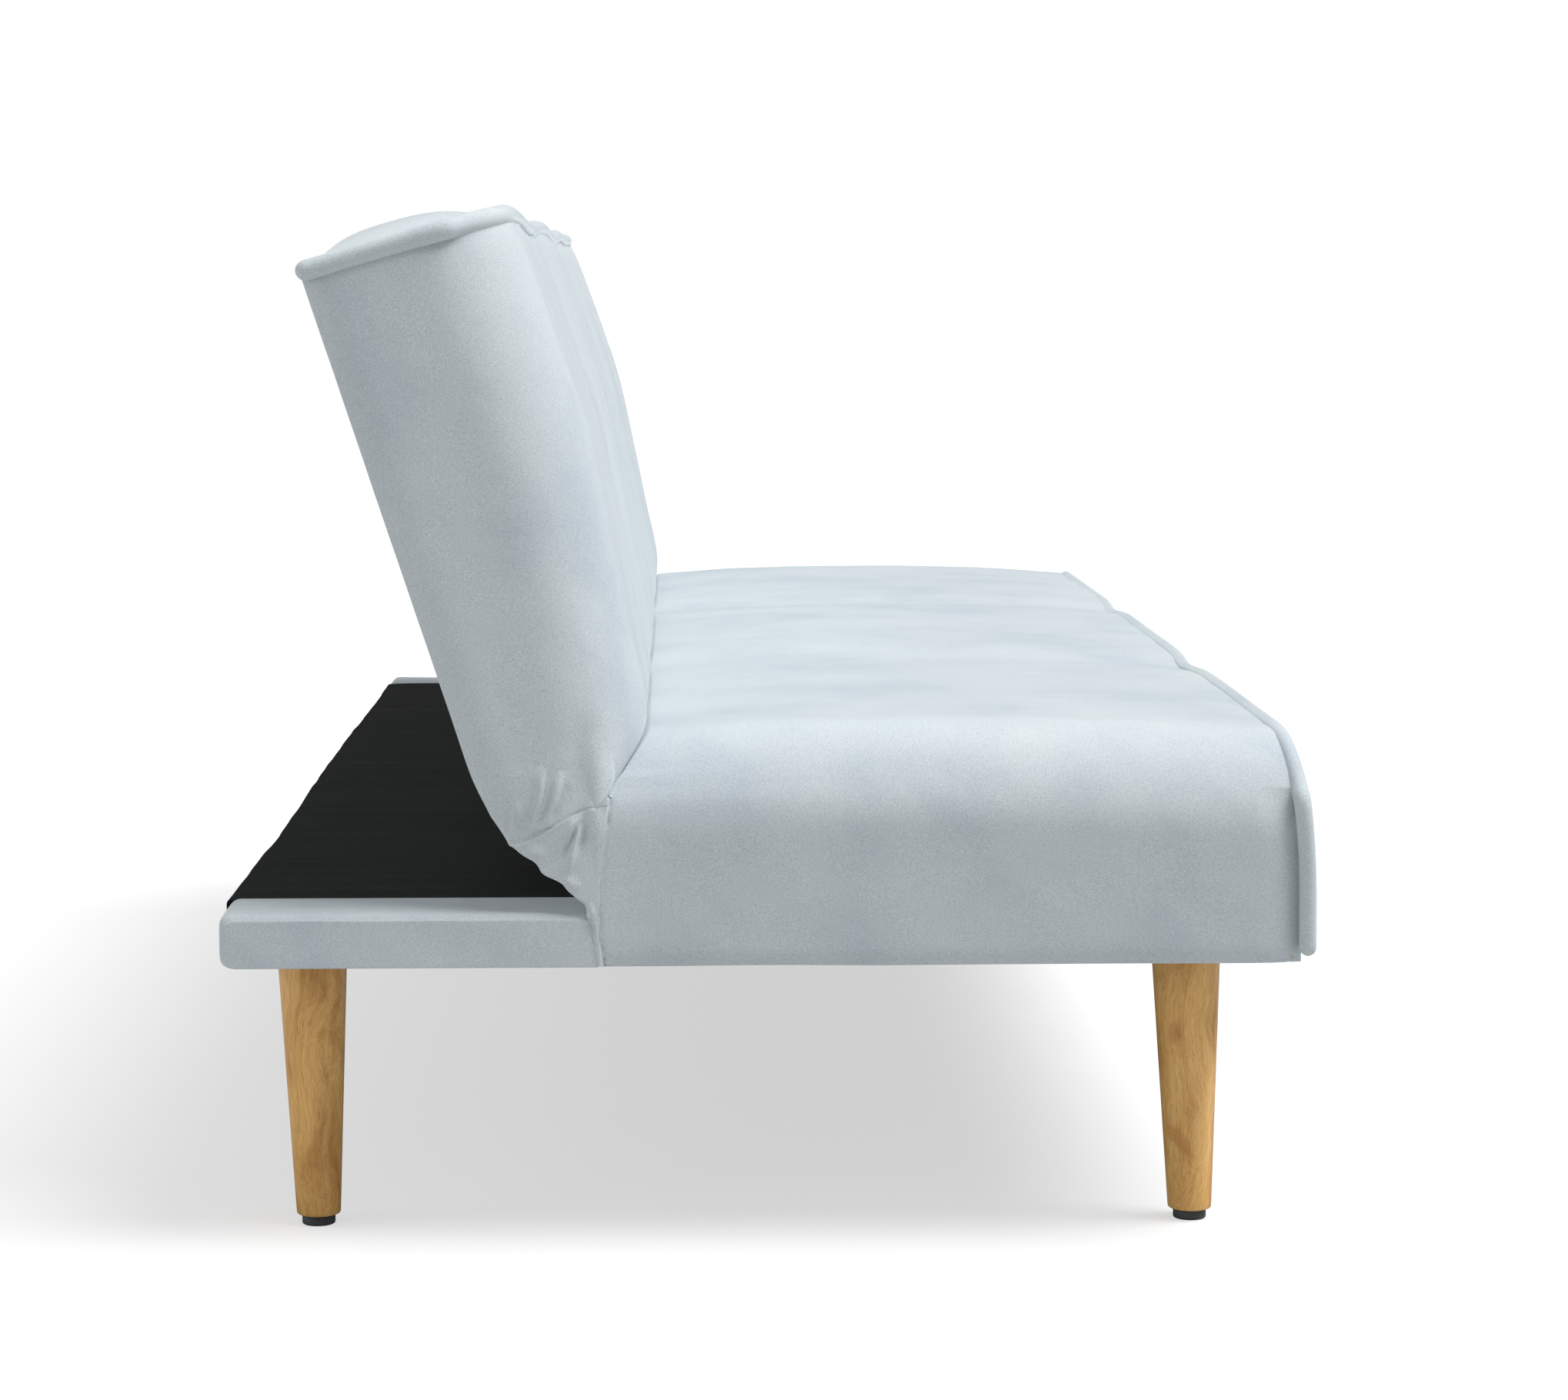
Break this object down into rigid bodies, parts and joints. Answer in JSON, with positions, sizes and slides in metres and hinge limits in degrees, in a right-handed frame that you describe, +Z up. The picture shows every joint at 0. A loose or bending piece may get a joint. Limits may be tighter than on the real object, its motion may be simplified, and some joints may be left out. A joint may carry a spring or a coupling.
{
  "type": "click clack sofa bed",
  "caption": "Armless sofa bed in pale blue velvet, with piped cushions, a folding ratchet back, a low rear deck and tapered wooden legs.",
  "frame": {"origin": "on the floor, under the middle of the sofa's outline", "axes": "+X along the sofa, the front faces -Y, +Z up"},
  "size_m": [1.8002, 0.8417, 0.7985],
  "materials": {
    "velvet": "pale blue short pile",
    "lining": "black woven lining",
    "foam": "open cell foam",
    "elastic": "woven elastic",
    "pine": "sawn",
    "leg_wood": "satin lacquer",
    "glide_plastic": "matt",
    "zinc_steel": "zinc plated",
    "spring_steel": "dark drawn wire"
  },
  "bodies": {
    "base": {"base_end_rail_left": "pine", "base_end_rail_right": "pine", "base_front_rail": "pine", "base_rear_rail": "pine", "base_seat_rail": "pine", "base_seat_centre_rail": "pine", "base_deck_centre_rail": "pine", "deck_lining": "lining", "deck_wrap_left": "velvet", "deck_wrap_right": "velvet", "deck_rear_cloth": "velvet", "dust_cover": "lining", "leg_front_left": "leg_wood", "leg_front_right": "leg_wood", "leg_rear_left": "leg_wood", "leg_rear_right": "leg_wood", "glide_front_left": "glide_plastic", "glide_front_right": "glide_plastic", "glide_rear_left": "glide_plastic", "glide_rear_right": "glide_plastic", "leg_plate_front_left": "zinc_steel", "leg_plate_front_right": "zinc_steel", "leg_plate_rear_left": "zinc_steel", "leg_plate_rear_right": "zinc_steel", "seat_spring_1": "spring_steel", "seat_spring_2": "spring_steel", "seat_spring_3": "spring_steel", "seat_spring_4": "spring_steel", "seat_cover": "velvet", "seat_foam": "foam", "seat_piping": "velvet", "hinge_seat_plate_left": "zinc_steel", "hinge_seat_plate_right": "zinc_steel", "hinge_ratchet_left": "zinc_steel", "hinge_ratchet_right": "zinc_steel", "hinge_pin_left": "zinc_steel", "hinge_pin_right": "zinc_steel", "hinge_gusset_left": "velvet", "hinge_gusset_right": "velvet", "hinge_flap": "velvet"},
    "back": {"back_end_rail_left": "pine", "back_end_rail_right": "pine", "back_foot_rail": "pine", "back_top_rail": "pine", "back_centre_rail": "pine", "back_webbing_1": "elastic", "back_webbing_2": "elastic", "back_webbing_3": "elastic", "back_cover": "velvet", "back_foam": "foam", "back_piping": "velvet", "back_rear_panel": "velvet", "hinge_back_arm_left": "zinc_steel", "hinge_back_arm_right": "zinc_steel", "hinge_pawl_spring_left": "spring_steel", "hinge_pawl_spring_right": "spring_steel"},
    "pawl_left": {"hinge_pawl_left": "zinc_steel"},
    "pawl_right": {"hinge_pawl_right": "zinc_steel"}
  },
  "joints": [
    {"name": "back_recline", "type": "hinge", "parent": "base", "child": "back", "pos_m": [0, 0.15, 0.3223], "axis": [-1, 0, 0], "range_deg": [0, 71.5], "deforming": ["hinge_flap", "hinge_gusset_left", "hinge_gusset_right"]},
    {"name": "pawl_left_engage", "type": "hinge", "parent": "back", "child": "pawl_left", "pos_m": [-0.8552, 0.1339, 0.34983], "axis": [-1, 0, 0], "range_deg": [0, 18], "deforming": ["hinge_pawl_spring_left"]},
    {"name": "pawl_right_engage", "type": "hinge", "parent": "back", "child": "pawl_right", "pos_m": [0.8552, 0.1339, 0.34983], "axis": [-1, 0, 0], "range_deg": [0, 18], "deforming": ["hinge_pawl_spring_right"]}
  ]
}
